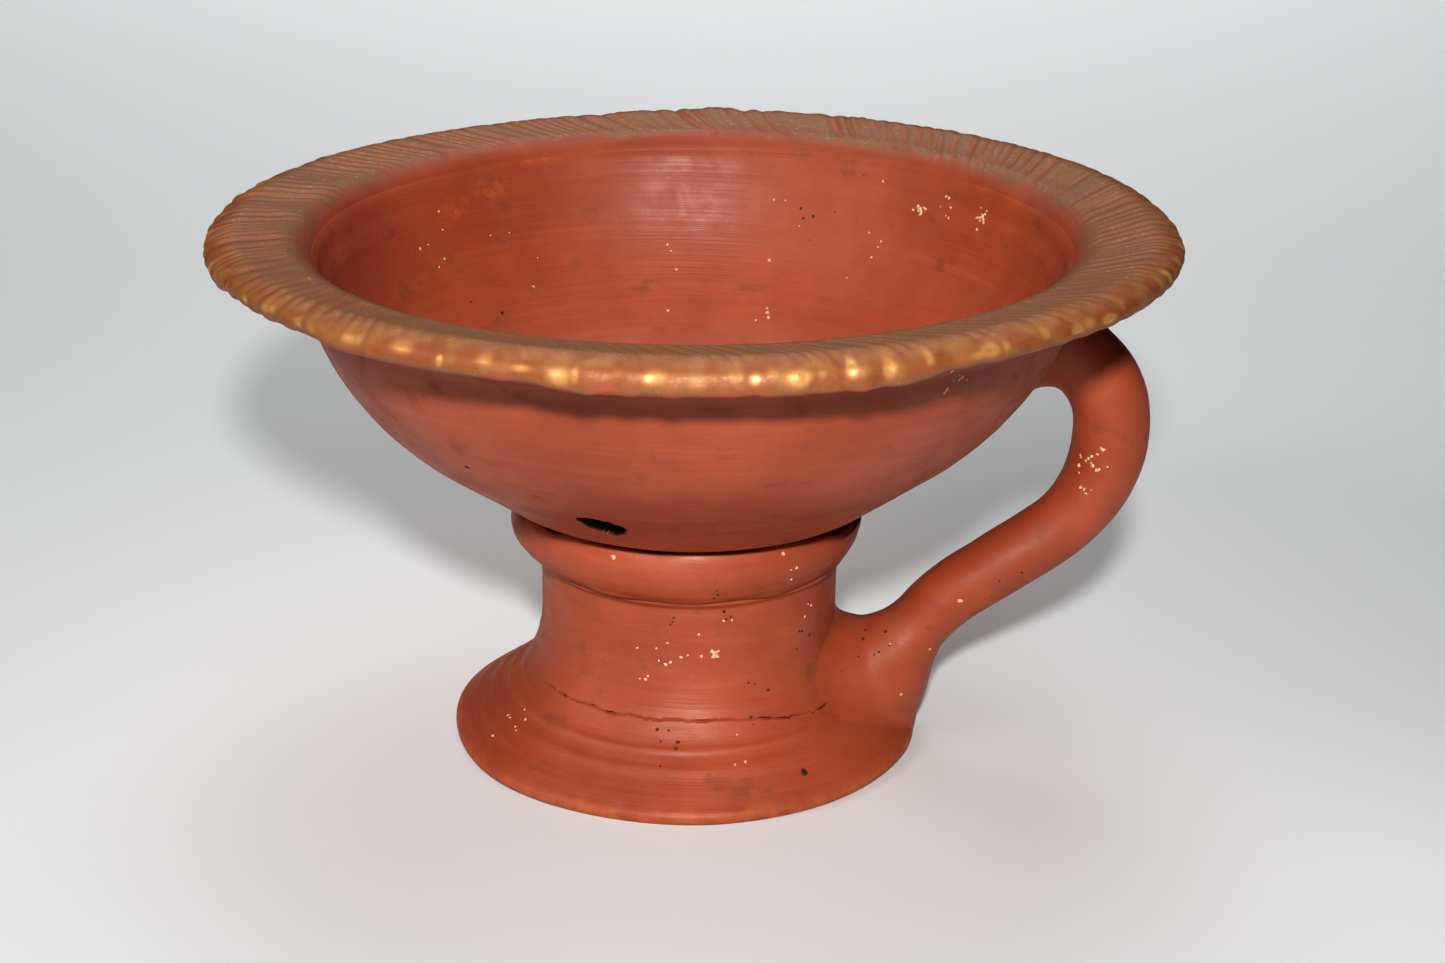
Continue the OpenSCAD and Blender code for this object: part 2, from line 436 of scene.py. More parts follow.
def build_gilding():
    angle = whole_turn(1600)
    soft_skin = soften(skin_line, 0.6)
    line = recut(soft_skin, lambda p: np.where(p[:, 0] > RIM_R - 3.2, 0.42, 0.62))
    r0, z0 = columns(line)
    nr, nz = columns(normals(line))
    a = angle[None, :]

    # Comb strokes: narrow grooves between broad ridges, swung round towards the mouth
    inward = np.clip((RIM_R - r0) / 15, 0, 1)
    swing = math.radians(COMB_SLANT) * inward**1.6 * np.ones_like(a)
    turn = a + swing
    phase = GROOVES * turn + 2.2 * waves(turn, 41, 7, 40)
    stroke = in_space(24, inward * 2, turn)
    strength = 0.75 + 0.75 * Noise(42)(stroke, 2.3) + 0.35 * Noise(43)(stroke, 0.9)
    strength = np.clip(strength, 0.08, 1.5)
    front = span(a, 236, 318, 26)
    strength = strength * (1 - 0.6 * front) * (1 - 0.3 * span(a, -60, 30, 25))
    valley = (0.5 + 0.5 * np.cos(phase)) ** 2
    ridge = 0.5 - 0.5 * np.cos(phase)
    start = COMB_START_R + 0.8 * waves(turn, 44, 9, 40)
    reach = ramp(0, 3.2, r0 - start) * ramp(-0.2, 1.4, z0 - (LAMP_H - 3.9))
    # The lip is lumpy where the strokes run over its edge, and they die out round it
    lip = ramp(RIM_R - 4.5, RIM_R - 0.8, r0)
    under = 1 - ramp(LAMP_H - 3.4, LAMP_H - 0.8, z0)
    strength = strength * (1 - 0.6 * lip) * (1 - 0.7 * under)
    depth = (-0.27 * valley + 0.05 * ridge) * strength * reach
    lumps = 0.08 * waves(a, 45, 64, 120) + 0.05 * waves(a, 46, 16, 60)
    lumps = lumps * (1 - 0.55 * span(a, -50, 30, 25))
    soft = 0.08 * Noise(47)(in_space(40, z0, a), 1.7)
    push = depth + lip * (lumps - 0.05) + soft * reach
    push = push - 0.16 * (1 - ramp(LAMP_H - 4.3, LAMP_H - 3.2, z0))
    push = push - 0.2 * (1 - ramp(0.1, 1.3, r0 - MOUTH_R))

    out, up = rim_shape(r0, z0, a)
    r = r0 + nr * push + out
    z = z0 + nz * push + up

    # The skin's hidden inner face
    back = recut(skin_line, even(4.0))[::-1]
    back_r, back_z = columns(back + normals(back) * SKIN)
    out, up = rim_shape(*columns(back), a)
    r = np.concatenate([r, back_r + out])
    z = np.concatenate([z, back_z + up])
    z = z + lean(r * np.cos(a), z)

    # Where the paint has gone: in the grooves, at the mouth's edge and under the lip
    bare = np.clip(valley * strength * reach * 1.15, 0, 1)
    edge_wave = 0.5 * waves(a, 48, 3, 9) + 0.3 * waves(a, 49, 12, 60)
    behind = span(a, 62, 122, 30)
    inner_edge = r0 - COMB_START_R + 1.8 * front - 1.6 * behind - edge_wave
    below = 1 - ramp(-0.5, 0.9, z0 - (LAMP_H - 3.4) - 0.35 * waves(a, 50, 20, 70))
    worn = np.maximum(1 - ramp(-2.6, 3.2, inner_edge), below * (r0 > 66))
    nose = ramp(RIM_R - 5.0, RIM_R - 1.6, r0) * ramp(LAMP_H - 3.2, LAMP_H - 2.2, z0)

    # Painted highlights: bright dabs along the lip stand for glints of the key light on its bumps
    on_lip = ramp(RIM_R - 4.2, RIM_R - 2.6, r0)
    painted_glint = np.zeros_like(worn)
    random = np.random.default_rng(58)
    azimuth = 0.0
    while azimuth < 360:
        wide, tall = random.uniform(0.4, 1.5), random.uniform(0.5, 0.9)
        height = LAMP_H - random.uniform(1.2, 2.1)
        dab = hump(apart(a, azimuth), 0, wide) * hump(z0, height, tall)
        painted_glint = np.maximum(painted_glint, random.uniform(0.25, 1.0) * dab * on_lip)
        azimuth += random.uniform(1.0, 6.0)

    values = {"groove": bare, "worn": worn, "nose": nose * np.ones_like(a), "painted_glint": painted_glint}
    hidden = np.zeros((len(back), len(angle)))
    values = {key: np.concatenate([value, hidden]) for key, value in values.items()}
    return spin("gilded_rim", r, z, angle, loop=True, **values)


# ---------------------------------------------------------------- collar and luting coil
def build_collar():
    angle = whole_turn(420)
    base, top = COLLAR_LOW, COLLAR_TOP
    line = np.concatenate([
        [[BORE_R, base], [24.6, base - 0.15], [25.5, base + 0.15], [26.6, base + 1.5],
         [27.5, base + 3.2], [27.95, base + 5], [28.0, base + 6.3], [27.75, base + 6.9],
         [27.2, base + 7.6]],
        arc((26.75, top - 0.55), 0.5, 30, 200, 8),
        [[25.0, top - 2.5], [24.5, LUTING_Z], [BORE_R, LUTING_Z], [BORE_R, base]],
    ])
    line = recut(soften(line, 0.5), lambda p: np.where(p[:, 0] > 24, 0.28, 1.2))[:-1]
    along = lengths(line)[:, None]
    r0, z0 = columns(line)
    nr, nz = columns(normals(line))
    a = angle[None, :]
    push = 0.04 * rings_noise(along, a, 1.1, 1.5, 51) + 0.12 * rings_noise(along, a, 5, 2.0, 52)
    push = push * ramp(22, 25, r0)
    # Pressed lip: up against the bowl in front, lower and open at the sides
    lip = ramp(base + 6.2, top - 0.6, z0)
    side = 1 - span(a, 232, 308, 22)
    lift = 1.1 - 2.3 * side * (0.75 + 0.35 * waves(a, 53, 2, 4) * side)
    lift = lift + 0.16 * waves(a, 54, 6, 22)
    flare = 0.35 * side + 0.1 * waves(a, 55, 3, 14)
    under = (1 - ramp(base, base + 1.4, z0)) * ramp(23, 25, r0)
    belly = 0.9 * span(a, 165, 200, 30) * hump(z0, base + 3.6, 3.0) * ramp(24, 26, r0)
    r = r0 + nr * push + flare * lip + belly + 0.14 * waves(a, 56, 4, 18) * under
    z = z0 + nz * push + lift * lip + 0.14 * waves(a, 57, 3, 14) * under
    return spin("socket_collar_lip", r, z, angle, loop=True)


def build_luting():
    angle = whole_turn(260)
    corner = 1.6
    near, far = BORE_R + 0.4 + corner, 24.35 - corner
    low, high = LUTING_Z + corner, BASE_Z - corner
    centres = ((far, high), (near, high), (near, low), (far, low))
    line = np.concatenate([arc(c, corner, 90 * k, 90 * k + 90, 6) for k, c in enumerate(centres)])
    line = recut(line, even(0.5))[:-1]
    a = angle[None, :]
    r0, z0 = columns(line)
    spot = in_space(22, z0, a)
    rough = 0.22 * Noise(61)(spot, 3.0) + 0.1 * Noise(62)(spot, 1.1)
    away = line - line.mean(0)
    out, up = columns(away / np.hypot(*away.T)[:, None])
    r = r0 + out * (rough - 0.2)
    z = z0 + up * (rough - 0.2) * 0.5
    return spin("luting_coil_squeezed", r, z, angle, loop=True)


# ---------------------------------------------------------------- stem and foot
SEAM_DEPTH = 1.2  # how far the seam's faces run into the wall
SEAM_ROWS = np.array([0, 0.04, 0.1, 0.18, 0.3, 0.5])  # mm from the seam
soft_pedestal = soften(pedestal_line, 1.6)
pedestal_run = lengths(soft_pedestal)
pedestal_normal = normals(soft_pedestal)


def seam_run(angle):
    """Distance down the pedestal's outline to the seam, which dips at the handle side."""
    height = SEAM_Z + 0.35 - 2.1 * span(angle, 325, 395, 48)
    height = height + 0.10 * waves(angle, 71, 9, 30) + 0.06 * waves(angle, 72, 40, 160)
    return np.interp(height, soft_pedestal[::-1, 1], pedestal_run[::-1])


def crack_width(angle):
    """How far the seam has opened, from 0 where it is smoothed shut to about 1."""
    open_part = span(angle, 218, 338, 10)
    return open_part * np.clip(0.75 + 0.16 * waves(angle, 73, 8, 60), 0.5, 1.0)


def pedestal_out(r, z, angle):
    """How far the pedestal strays outwards from a true circle, in mm."""
    out = 0.22 * waves(angle, 77, 2, 7) * calm(angle, 20) - 0.7 * span(angle, 292, 322, 22)
    out = out * ramp(27, 37, r) * ramp(-0.2, 0.6, z)
    return out + 0.6 * span(angle, -30, 30, 30) * ramp(16, 22, z)


def pedestal_surface(along, angle):
    """The pedestal's outside at a distance down its outline: r, z and the normal."""
    r0 = np.interp(along, pedestal_run, soft_pedestal[:, 0])
    z0 = np.interp(along, pedestal_run, soft_pedestal[:, 1])
    nr = np.interp(along, pedestal_run, pedestal_normal[:, 0])
    nz = np.interp(along, pedestal_run, pedestal_normal[:, 1])
    a = np.broadcast_to(angle[None, :], along.shape)
    shown = ramp(1.0, 2.6, z0)
    push = 0.045 * rings_noise(along, a, 1.0, 1.4, 74) + 0.07 * rings_noise(along, a, 3.6, 1.0, 75)
    push = push + 0.1 * Noise(76)(in_space(r0, z0, a), 11)
    # Tool marks on the skirt: a step, a groove below it and a soft roll near the edge
    push = push - 0.2 * hump(r0, 28.9, 0.5) - 0.08 * hump(r0, 31.6, 0.7)
    push = push + 0.08 * hump(r0, 33.4, 1.1)
    push = push - 0.06 * hump(z0, 28.6, 0.6) - 0.05 * hump(z0, 17.2, 0.5)
    push = push * shown * calm(a, 20) - 0.9 * ramp(30.3, 31.4, z0)
    return r0 + nr * push + pedestal_out(r0, z0, angle[None, :]), z0 + nz * push, nr, nz


def build_pedestal():
    angle = whole_turn(560)
    seam = seam_run(angle)[None, :]
    crack = crack_width(angle)[None, :]

    def outside(start, end, rows):
        """Rows from the seam to the far end, close together at the seam."""
        share = np.linspace(0, 1, rows)[1:, None]
        close = SEAM_ROWS[:, None] + 0 * seam
        rest = SEAM_ROWS[-1] + (abs(end - start) - SEAM_ROWS[-1]) * share
        gap = np.concatenate([close, rest])
        along = start + np.sign(end - seam.mean()) * gap
        r, z, nr, nz = pedestal_surface(along, angle)
        sink = 0.36 * crack * np.exp(-((gap / 0.14) ** 2))
        return r - nr * sink, z - nz * sink, gap

    gape = 0.05 * crack
    # Stem: from the seam up to the collar, then down the bore
    r_up, z_up, gap = outside(seam - gape, np.full_like(seam, 0.0), 62)
    r_up = r_up + 0.09 * crack * np.exp(-((gap / 1.2) ** 2))
    bore = np.array([[BORE_R, COLLAR_LOW + 0.3], [BORE_R, 27], [BORE_R, 22], [BORE_R + 0.3, 18],
                     [BORE_R + 0.9, SEAM_Z + 0.5]])
    bore = recut(bore, even(1.0))
    r0, z0 = columns(bore)
    a = angle[None, :]
    rough = 0.25 * Noise(78)(in_space(20, z0, a), 5) + 0.08 * rings_noise(z0, a, 1.6, 2, 79)
    r = np.concatenate([r_up[:1] - SEAM_DEPTH, r_up, r0 + rough])
    z = np.concatenate([z_up[:1] + 0.2, z_up, z0 + 0 * a])
    stem = spin("stem_turned", r, z, angle, loop=True)

    # Foot: from the seam out over the skirt to the resting ring, then up the hollow
    r_down, z_down, _ = outside(seam + gape, np.full_like(seam, pedestal_run[-1]), 64)
    z_down = np.maximum(z_down, 0)
    hollow = np.array([[FOOT_R - 2.4, 0], [FOOT_R - 5.2, 0], [FOOT_R - 9, 2.6],
                       [FOOT_R - 14.2, 6.8], [BORE_R + 0.9, SEAM_Z - 0.3]])
    hollow = recut(soften(hollow, 1.0), even(0.9))
    r0, z0 = columns(hollow)
    rough = 0.3 * Noise(80)(in_space(r0, z0, a), 6) + 0.1 * rings_noise(r0, a, 1.4, 2, 81)
    r = np.concatenate([r_down[:1] - SEAM_DEPTH, r_down, r0 + 0 * a])
    z = np.concatenate([z_down[:1] - 0.2, z_down, z0 + rough * ramp(0.5, 3.0, z0)])
    worn = (1 - ramp(1.0, 3.4, z)) * ramp(33, 36, r)
    foot = spin("foot_turned", r, z, angle, loop=True, worn=worn)
    return stem, foot


# ---------------------------------------------------------------- handle and its wads
def outline_distance(outline, points):
    """Signed distance from [..., 2] points to a closed outline, negative inside."""
    best = np.full(points.shape[:-1], 1e9)
    inside = np.zeros(points.shape[:-1], bool)
    for p, q in zip(outline, np.roll(outline, -1, 0)):
        d = q - p
        if not d.any():
            continue
        t = np.clip(((points - p) @ d) / (d @ d), 0, 1)
        best = np.minimum(best, np.hypot(*np.moveaxis(points - p - t[..., None] * d, -1, 0)))
        between = (p[1] > points[..., 1]) != (q[1] > points[..., 1])
        if d[1]:
            side = p[0] + (points[..., 1] - p[1]) * d[0] / d[1]
            inside ^= between & (points[..., 0] < side)
    return np.where(inside, -best, best)


def table_of(outline):
    """A look-up of outline_distance by radius and height."""
    cell, low = 0.25, -6
    rr = np.arange(0, 96, cell)
    zz = np.arange(low, 100, cell)
    grid = np.stack(np.meshgrid(rr, zz, indexing="ij"), -1)
    values = outline_distance(recut(outline, even(1.2)), grid)

    def look(r, z):
        i = np.clip(r / cell, 0, len(rr) - 1.01)
        j = np.clip((z - low) / cell, 0, len(zz) - 1.01)
        a, b = i.astype(int), j.astype(int)
        u, v = i - a, j - b
        top = values[a, b] * (1 - u) + values[a + 1, b] * u
        return top * (1 - v) + (values[a, b + 1] * (1 - u) + values[a + 1, b + 1] * u) * v

    return look


def blended(a, b, reach):
    """The smaller of two distances, with the corner between them filled."""
    h = np.maximum(reach - abs(a - b), 0) / reach
    return np.minimum(a, b) - h * h * reach / 4


def handle_path():
    """Centre line in the XZ plane and the coil's radius along it, in mm.

    It bends over from the bowl, runs down slantwise towards the stem, and turns down
    into the foot.
    """
    reach = HANDLE_REACH - 5.9
    over, under, into_foot = 14.5, 22.5, 30
    first = arc((reach - over, LAMP_H - 33.7), over, 97, 0, 24)
    second = arc((reach - under, LAMP_H - 34.5), under, 0, -55, 20)
    turn = math.radians(55)
    run_end = second[-1] - 15 * np.array([math.sin(turn), math.cos(turn)])
    lower = run_end + into_foot * np.array([math.cos(turn), -math.sin(turn)])
    third = arc(lower, into_foot, 125, 160, 14)
    fall = math.radians(20)
    last = third[-1] - 7.5 * np.array([math.sin(fall), math.cos(fall)])
    line = recut(soften(np.concatenate([first, second, third, [last]]), 3), even(0.3))
    share = np.linspace(0, 1, len(line))
    radius = 6.05 + 1.3 * (1 - ramp(0.02, 0.15, share)) - 0.85 * ramp(0.3, 0.5, share)
    return line, radius + 0.5 * ramp(0.8, 1, share)


def build_handle():
    cell = 0.42
    low, high = np.array([8.0, -24.0, -1.5]), np.array([79.0, 24.0, 86.0])
    ticks = (a + cell * np.arange((b - a) // cell + 1) for a, b in zip(low, high))
    x, y, z = np.meshgrid(*ticks, indexing="ij")
    line, radius = handle_path()
    flat = np.stack([x[:, 0], z[:, 0]], -1)
    gap = np.hypot(flat[..., None, 0] - line[:, 0], flat[..., None, 1] - line[:, 1])
    nearest = np.argmin(gap - radius, -1)
    in_plane = np.take_along_axis(gap, nearest[..., None], -1)[..., 0]
    spot = np.stack([x, y, z], -1)
    uneven = 0.22 * Noise(91)(spot, 11) + 0.06 * Noise(92)(spot, 3.4)
    coil = np.hypot(in_plane[:, None], y * 0.97) - radius[nearest][:, None] + uneven
    wad_x, wad_z, wad_r = 27.8, 8.8, 9.0
    foot_wad = np.sqrt((x - wad_x) ** 2 + (0.95 * y) ** 2 + (z - wad_z) ** 2) - wad_r + uneven

    r = np.hypot(x, y)
    bowl_solid = table_of(np.concatenate([[[0, BASE_Z]], bowl_outer, rim_line, [[0, LAMP_H]]]))
    foot_solid = table_of(np.concatenate([[[0, COLLAR_LOW]], soft_pedestal, [[0, 0]]]))
    bowl = bowl_solid(r, z - lean(x, z))
    foot = foot_solid(r - pedestal_out(r, z, np.arctan2(y, x)), z)

    sunk = 0.9  # how far each piece runs into the ones it joins
    ground = 0.05 - z
    body = np.maximum.reduce([coil, -(bowl + sunk), -(foot + sunk), ground])
    handle = net("handle_coil", body, low, cell)

    # Wads: fillets from the coil to what it is stuck on, deep low on the stem, thin elsewhere
    feather = 0.02
    low_reach = 2.0 + 6.5 * (1 - ramp(27, 36, r)) * (1 - ramp(14, 27, z))
    top_limit = np.maximum(45 - z, z - LAMP_H + 5.6)
    ends = (("handle_top_wad_smoothed", coil, bowl, 5.5, top_limit),
            ("handle_foot_wad_smoothed", blended(coil, foot_wad, 7.5), foot, low_reach, z - 33))
    wads = []
    for name, core, target, reach, limit in ends:
        sink = 0.07 * ramp(0.6, 1.05, core / reach)
        skin = blended(core + feather, target + feather + sink, reach)
        cuts = (-(coil + sunk), -(target + sunk), core - reach - 1.0, limit, ground)
        wads.append(net(name, np.maximum.reduce([skin, *cuts]), low, cell))
    return handle, *wads


# ---------------------------------------------------------------- specks
def tree_of(*pieces):
    """A tree for ray casts, in mm, for each piece."""
    trees = []
    for mesh in (piece.data for piece in pieces):
        corners = [v.co / MM for v in mesh.vertices]
        trees.append(BVHTree.FromPolygons(corners, [tuple(p.vertices) for p in mesh.polygons]))
    return trees


def strike(trees, origin, direction):
    """The first hit on any of the trees, as point and normal."""
    best = None
    for tree in trees:
        point, normal, _, distance = tree.ray_cast(Vector(origin), Vector(direction))
        if point is not None and (best is None or distance < best[2]):
            best = (point, normal, distance)
    return best


def add_specks(name, groups, seed):
    """Low ragged specks stuck to the surface, all of one colour, in one mesh.

    A group is trees, ray origin, ray direction, how far its specks scatter in mm, how
    many there are, and their size in mm.
    """
    random = np.random.default_rng(seed)
    points, faces = [], []
    sides = 12
    rings = ((1.0, -0.05), (0.82, 0.05), (0.45, 0.09))  # share of the width, and height
    top, bottom = 0.1, -0.12
    for trees, origin, direction, scatter, count, size in groups:
        direction = Vector(direction).normalized()
        side = direction.orthogonal().normalized()
        other = direction.cross(side)
        for _ in range(count):
            shift = random.normal(0, scatter, 2) if count > 1 else (0, 0)
            hit = strike(trees, Vector(origin) + side * shift[0] + other * shift[1], direction)
            width = size * random.uniform(0.65, 1.25) / 2
            stretch = random.uniform(0.65, 1.0)
            rim = 1 + random.normal(0, 0.13, sides)
            spin_by = random.uniform(0, TAU)
            if hit is None:
                continue
            point, normal, _ = hit
            if normal.dot(direction) > 0:
                normal = -normal
            u = normal.orthogonal().normalized()
            v = normal.cross(u)
            base = len(points)
            for share, height in rings:
                for k in range(sides):
                    a = TAU * k / sides
                    across = width * share * rim[k] * math.cos(a)
                    along = width * share * rim[k] * math.sin(a) * stretch
                    x = across * math.cos(spin_by) - along * math.sin(spin_by)
                    y = across * math.sin(spin_by) + along * math.cos(spin_by)
                    points.append(point + u * x + v * y + normal * height)
            points += [point + normal * top, point + normal * bottom]
            for low in (base, base + sides):
                for k in range(sides):
                    n = (k + 1) % sides
                    faces.append((low + k, low + n, low + sides + n))
                    faces.append((low + k, low + sides + n, low + sides + k))
            inmost, last = base + 2 * sides, base + 3 * sides
            for k in range(sides):
                n = (k + 1) % sides
                faces.append((inmost + k, inmost + n, last))
                faces.append((base + n, base + k, last + 1))
    return make_mesh(name, [tuple(p) for p in points], [np.array(faces)])


def from_outside(azimuth, height):
    """Origin and direction of a level ray towards the axis."""
    a = math.radians(azimuth)
    return (120 * math.cos(a), 120 * math.sin(a), height), (-math.cos(a), -math.sin(a), 0)


def from_axis(azimuth, height):
    a = math.radians(azimuth)
    return (0, 0, height), (math.cos(a), math.sin(a), 0)


def from_front(x, z):
    return (x, -60, z), (0, 1, 0)


def groups(trees, ray, *rows):
    """Speck groups: each row is azimuth or x, height, scatter, how many, and size."""
    return [(trees, *ray(*row[:2]), *row[2:]) for row in rows]


# ---------------------------------------------------------------- materials
class Nodes:
    """Short calls for a material's node tree."""

    def __init__(self, name):
        self.material = bpy.data.materials.new(name)
        self.material.use_nodes = True
        self.tree = self.material.node_tree
        self.shader = self.tree.nodes["Principled BSDF"]

    def add(self, kind, output=0, settings=None, **inputs):
        node = self.tree.nodes.new(kind)
        for key, value in (settings or {}).items():
            setattr(node, key, value)
        for key, value in inputs.items():
            place = int(key[1:]) if key[0] == "i" and key[1:].isdigit() else key.replace("_", " ")
            self.feed(node.inputs[place], value)
        return node.outputs[output]

    def feed(self, socket, value):
        if isinstance(value, bpy.types.NodeSocket):
            self.tree.links.new(value, socket)
        else:
            socket.default_value = value

    def math(self, how, a, b=0.0):
        return self.add("ShaderNodeMath", settings={"operation": how}, i0=a, i1=b)

    def times(self, a, b):
        return self.math("MULTIPLY", a, b)

    def noise(self, vector, scale, detail=2.0, rough=0.5):
        return self.add("ShaderNodeTexNoise", Vector=vector, Scale=scale, Detail=detail,
                        Roughness=rough)

    def range(self, value, low, high, to_low=0.0, to_high=1.0):
        return self.add("ShaderNodeMapRange", settings={"interpolation_type": "SMOOTHSTEP"},
                        Value=value, From_Min=low, From_Max=high, To_Min=to_low, To_Max=to_high)

    def mix(self, share, a, b):
        """Two colours mixed. A mix node keeps its colours at sockets 6 and 7, and out at 2."""
        node = self.tree.nodes.new("ShaderNodeMix")
        node.data_type = "RGBA"
        self.feed(node.inputs[0], share)
        self.feed(node.inputs[6], a)
        self.feed(node.inputs[7], b)
        return node.outputs[2]

    def value(self, name):
        return self.add("ShaderNodeAttribute", "Fac", {"attribute_name": name})

    def bump(self, height, strength, distance, normal=None):
        node = self.tree.nodes.new("ShaderNodeBump")
        self.feed(node.inputs["Height"], height)
        self.feed(node.inputs["Strength"], strength)
        self.feed(node.inputs["Distance"], distance)
        if normal is not None:
            self.feed(node.inputs["Normal"], normal)
        return node.outputs[0]


def colour(red, green, blue):
    """An sRGB colour of 0 to 255 as the linear colour that a socket takes."""
    def linear(c):
        c /= 255
        return c / 12.92 if c <= 0.04045 else ((c + 0.055) / 1.055) ** 2.4

    return (linear(red), linear(green), linear(blue), 1.0)


def clay_nodes(name, slope, turned=1.0, ochre_share=0.45):
    """Fired and slipped clay. slope sets how throwing lines follow the wall, and turned
    how strong they are.

    Returns the node maker, the colour, roughness and bump to build on, the place in mm,
    and the noise of the blotches.
    """
    n = Nodes(name)
    spot = n.add("ShaderNodeTexCoord", "Object")
    spot = n.add("ShaderNodeVectorMath", settings={"operation": "SCALE"}, i0=spot, Scale=1 / MM)
    split = n.tree.nodes.new("ShaderNodeSeparateXYZ")
    n.feed(split.inputs[0], spot)
    x, y, z = split.outputs
    r = n.math("SQRT", n.math("ADD", n.times(x, x), n.times(y, y)))
    cos, sin = n.math("DIVIDE", x, r), n.math("DIVIDE", y, r)
    wall = n.math("ADD", z, n.times(r, slope))
    tilt = n.math("ADD", wall, n.times(cos, 0.8))

    def lines(pitch, runs):
        """Places stretched round the lamp, for noise as long fine lines."""
        return n.add("ShaderNodeCombineXYZ", i0=n.times(cos, runs), i1=n.times(sin, runs),
                     i2=n.times(tilt, 1 / pitch))

    fine = n.noise(lines(0.55, 1.6), 1.0, 3.0, 0.6)
    broad = n.noise(lines(3.2, 1.1), 1.0, 3.0, 0.6)
    patches = n.noise(spot, 0.045, 4.0, 0.6)
    blotches = n.noise(spot, 0.17, 4.0, 0.62)
    grain = n.noise(spot, 2.4, 3.0, 0.7)

    deep, main, light = colour(149, 72, 49), colour(170, 89, 61), colour(186, 112, 80)
    body = n.mix(n.range(patches, 0.36, 0.66, 0.35, 1.0), deep, main)
    body = n.mix(n.range(broad, 0.48, 0.75, 0.0, 0.2 * turned), body, light)
    body = n.mix(n.range(blotches, 0.5, 0.8, 0.0, 0.25), body, light)
    ochre = n.noise(lines(5.0, 0.8), 1.0, 2.0)
    body = n.mix(n.range(ochre, 0.5, 0.68, 0.0, ochre_share), body, colour(170, 90, 46))
    body = n.mix(n.range(fine, 0.56, 0.8, 0.0, 0.2 * turned), body, light)
    body = n.mix(n.range(fine, 0.46, 0.22, 0.0, 0.28 * turned), body, deep)
    dirt = n.times(n.range(blotches, 0.54, 0.70), n.range(broad, 0.4, 0.62, 0.25, 1.0))
    body = n.mix(n.times(dirt, 0.5), body, colour(116, 62, 42))
    body = n.mix(n.range(grain, 0.62, 0.78, 0.0, 0.45), body, colour(124, 52, 32))
    body = n.mix(n.range(grain, 0.38, 0.24, 0.0, 0.35), body, colour(206, 124, 88))

    rough = n.math("ADD", n.range(blotches, 0.3, 0.7, 0.44, 0.60),
                   n.range(fine, 0.3, 0.7, -0.05, 0.06))
    bump = n.bump(fine, 0.35 * turned, 0.0002)
    bump = n.bump(grain, 0.25, 0.00008, bump)
    return n, body, rough, bump, spot, blotches


def finish_clay(n, body, rough, bump):
    s = n.shader.inputs
    n.feed(s["Base Color"], body)
    n.feed(s["Roughness"], rough)
    n.feed(s["Normal"], bump)
    s["Specular IOR Level"].default_value = 0.5
    return n.material


def bowl_material():
    n, body, rough, bump, spot, _ = clay_nodes("slipped bowl clay", 0.9, 1.0, 0.2)
    pit = n.value("pit")
    # Painted shade: where the value pit is set the clay is coloured near-black for the dark inside
    # the hole
    hole_shade_black = (0.003, 0.001, 0.001, 1)
    body = n.mix(pit, body, hole_shade_black)
    rough = n.math("MAXIMUM", rough, pit)
    smear = n.times(n.value("smear"), n.range(n.noise(spot, 0.5, 4.0, 0.7), 0.36, 0.66))
    body = n.mix(n.times(smear, 0.65), body, colour(198, 112, 62))
    return finish_clay(n, body, rough, bump)


def pedestal_material(name, slope, turned=1.0):
    n, body, rough, bump, spot, _ = clay_nodes(name, slope, turned)
    worn = n.times(n.value("worn"), n.range(n.noise(spot, 0.35, 4.0, 0.65), 0.36, 0.6))
    body = n.mix(n.times(worn, 0.45), body, colour(196, 112, 62))
    return finish_clay(n, body, rough, bump)


